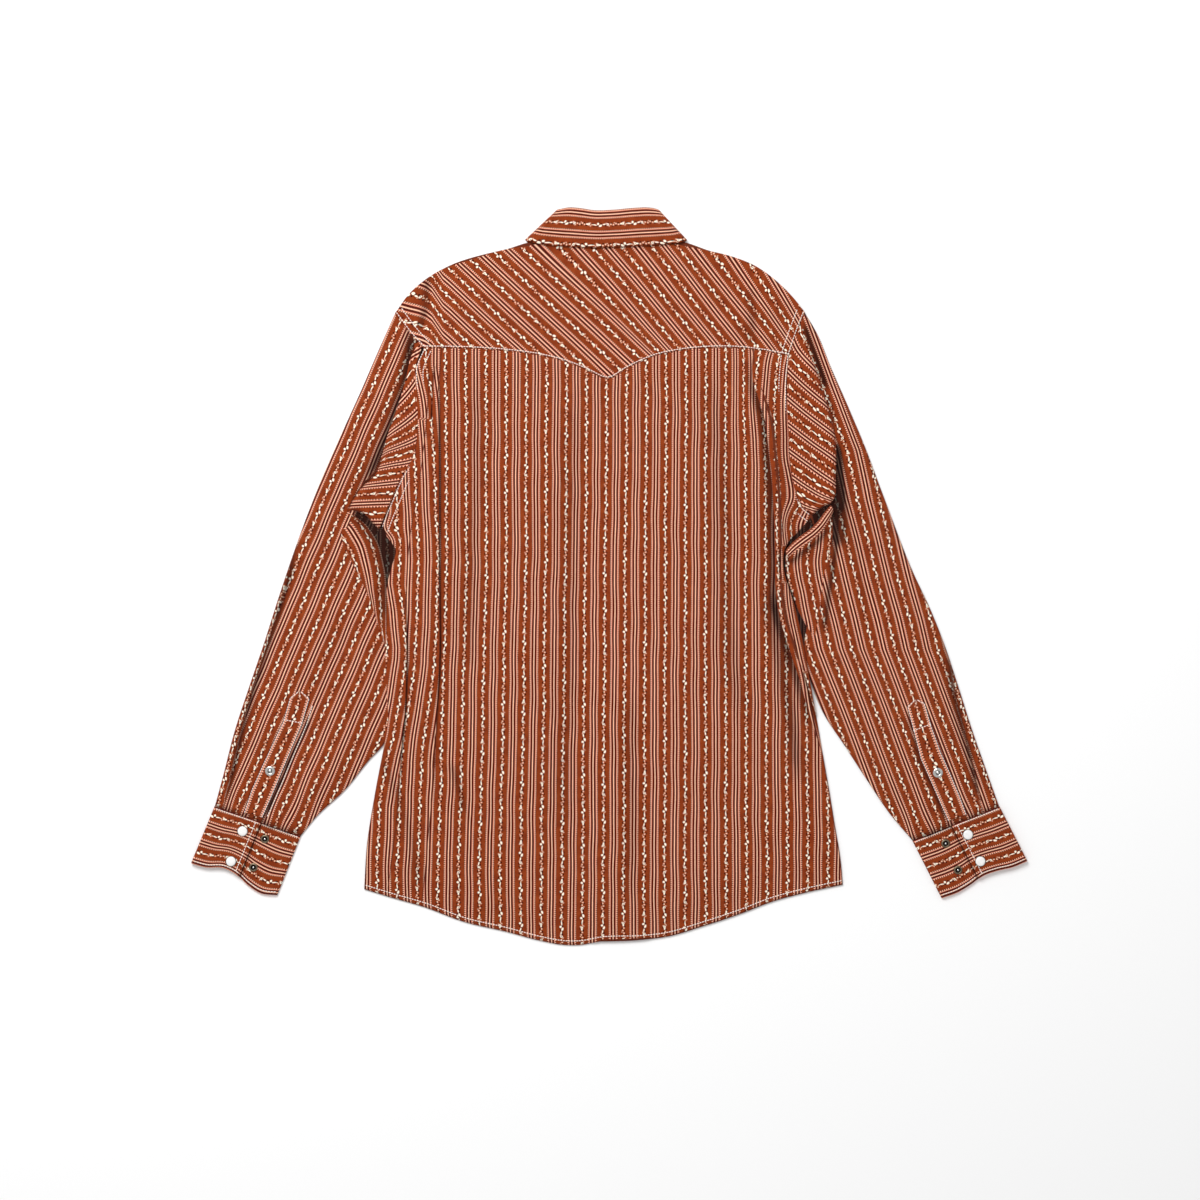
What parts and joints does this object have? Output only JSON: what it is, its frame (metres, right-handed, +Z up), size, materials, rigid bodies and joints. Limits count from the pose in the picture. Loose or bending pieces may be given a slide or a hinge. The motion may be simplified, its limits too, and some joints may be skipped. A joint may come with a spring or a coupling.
{
  "type": "western snap shirt",
  "caption": "Long-sleeved western shirt laid flat face down, with a pointed back yoke, folded collar, curved hem, pointed sleeve plackets and snap cuffs.",
  "frame": {"origin": "on the surface that the shirt rests on, under the middle of its whole outline", "axes": "+Z up, away from the surface; +Y from hem to collar; +X across the shirt, towards the wearer's right sleeve"},
  "size_m": [0.9448, 0.8334, 0.0136],
  "materials": {
    "printed_cotton": "matte printed cotton twill",
    "pearl": "glossy pearl resin cap",
    "nickel": "bright nickel plate",
    "gunmetal": "dark plated stamped metal"
  },
  "bodies": {
    "root": {"back": "printed_cotton", "back_yoke": "printed_cotton", "front_left": "printed_cotton", "front_right": "printed_cotton", "front_placket": "printed_cotton", "front_snap_1": "pearl", "front_snap_2": "pearl", "front_snap_3": "pearl", "front_snap_4": "pearl", "front_snap_5": "pearl", "front_snap_6": "pearl", "front_snap_7": "pearl", "collar_leaf": "printed_cotton", "collar_stand": "printed_cotton", "sleeve_left": "printed_cotton", "sleeve_right": "printed_cotton", "sleeve_placket_left": "printed_cotton", "sleeve_placket_right": "printed_cotton", "placket_snap_left": "nickel", "placket_snap_right": "nickel", "cuff_left": "printed_cotton", "cuff_right": "printed_cotton", "cuff_cap_left_1": "pearl", "cuff_cap_left_2": "pearl", "cuff_cap_right_1": "pearl", "cuff_cap_right_2": "pearl", "cuff_stud_left_1": "gunmetal", "cuff_stud_left_2": "gunmetal", "cuff_stud_right_1": "gunmetal", "cuff_stud_right_2": "gunmetal"}
  },
  "joints": []
}
